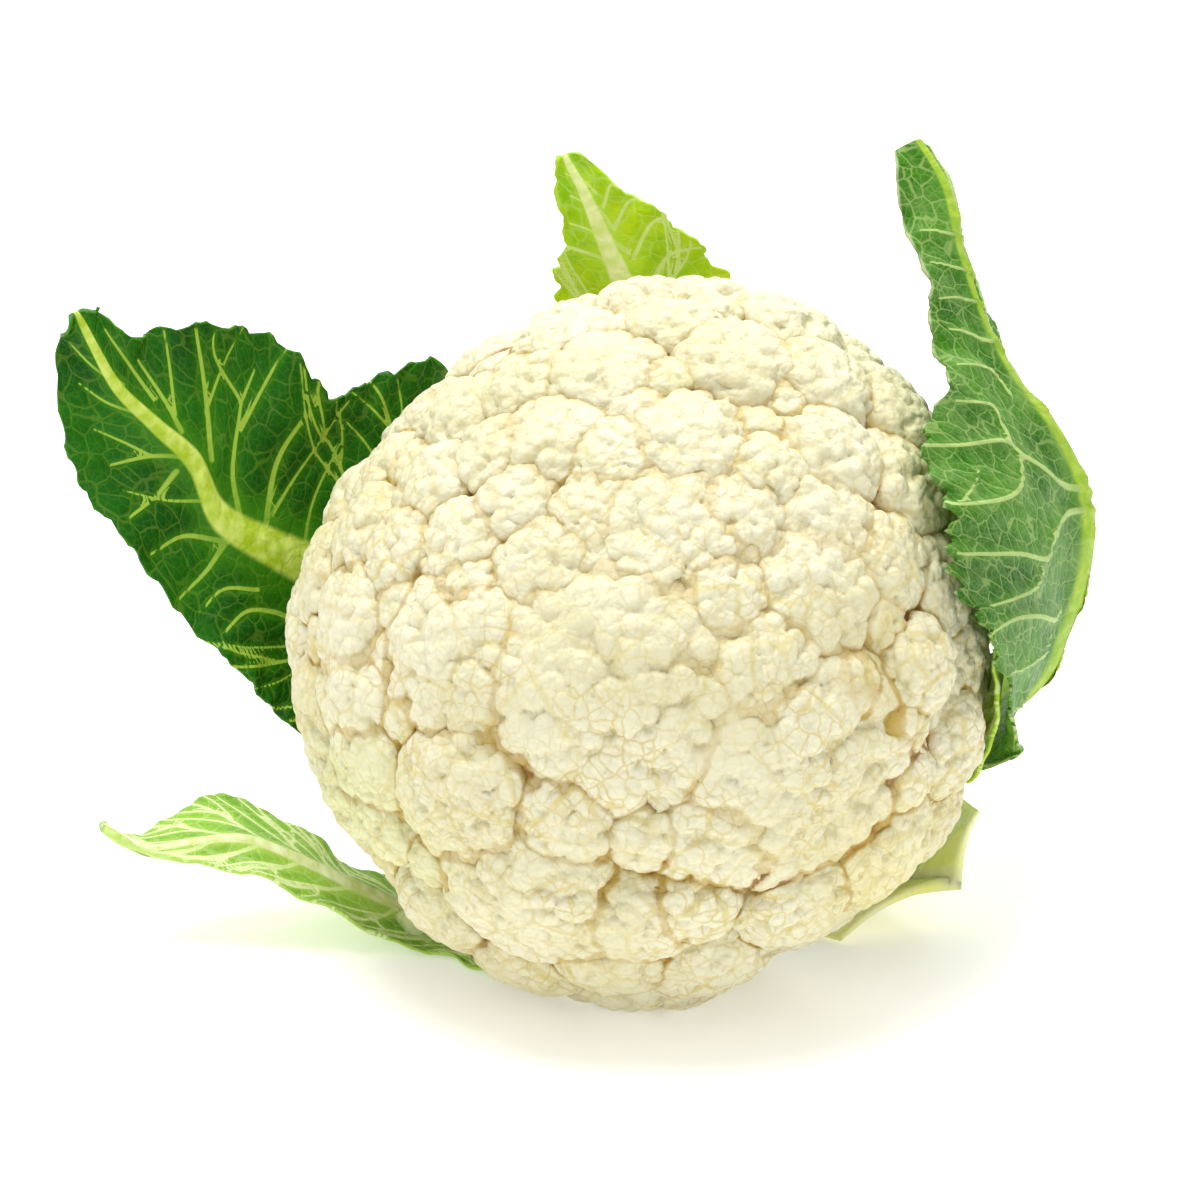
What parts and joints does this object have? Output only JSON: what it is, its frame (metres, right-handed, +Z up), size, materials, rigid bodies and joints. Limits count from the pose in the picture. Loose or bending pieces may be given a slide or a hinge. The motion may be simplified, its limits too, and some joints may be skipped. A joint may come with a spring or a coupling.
{
  "type": "cauliflower",
  "caption": "Round creamy white cauliflower head lying on its side, with its short cut stem behind and green inner leaves standing round the curd.",
  "frame": {"origin": "centre of the small flat on the underside of the curd, where the head rests on the surface", "axes": "+Z up, +X to the right of the head as it is looked at from the crown side, -Y towards the viewer, so the crown faces -Y, up and a little to -X, and the stem points away from it"},
  "size_m": [0.2356, 0.1586, 0.183],
  "materials": {
    "curd": "matte, faintly moist",
    "stem": "satin skin with a pale matte cut",
    "leaf_dark": "satin, inner face of a leaf",
    "leaf_bright": "satin, young leaf",
    "leaf_outer": "waxy bloom, outer face of a leaf",
    "leaf_base": "satin, pale fleshy leaf base"
  },
  "bodies": {
    "root": {"curd": "curd", "stem": "stem", "leaf_left": "leaf_dark", "leaf_top": "leaf_bright", "leaf_right": "leaf_outer", "leaf_inner": "leaf_bright", "leaf_low_left": "leaf_bright", "leaf_low_right": "leaf_base", "leaf_base_upper_left": "leaf_base", "leaf_base_upper_right": "leaf_base", "leaf_base_under": "leaf_base"}
  },
  "joints": []
}
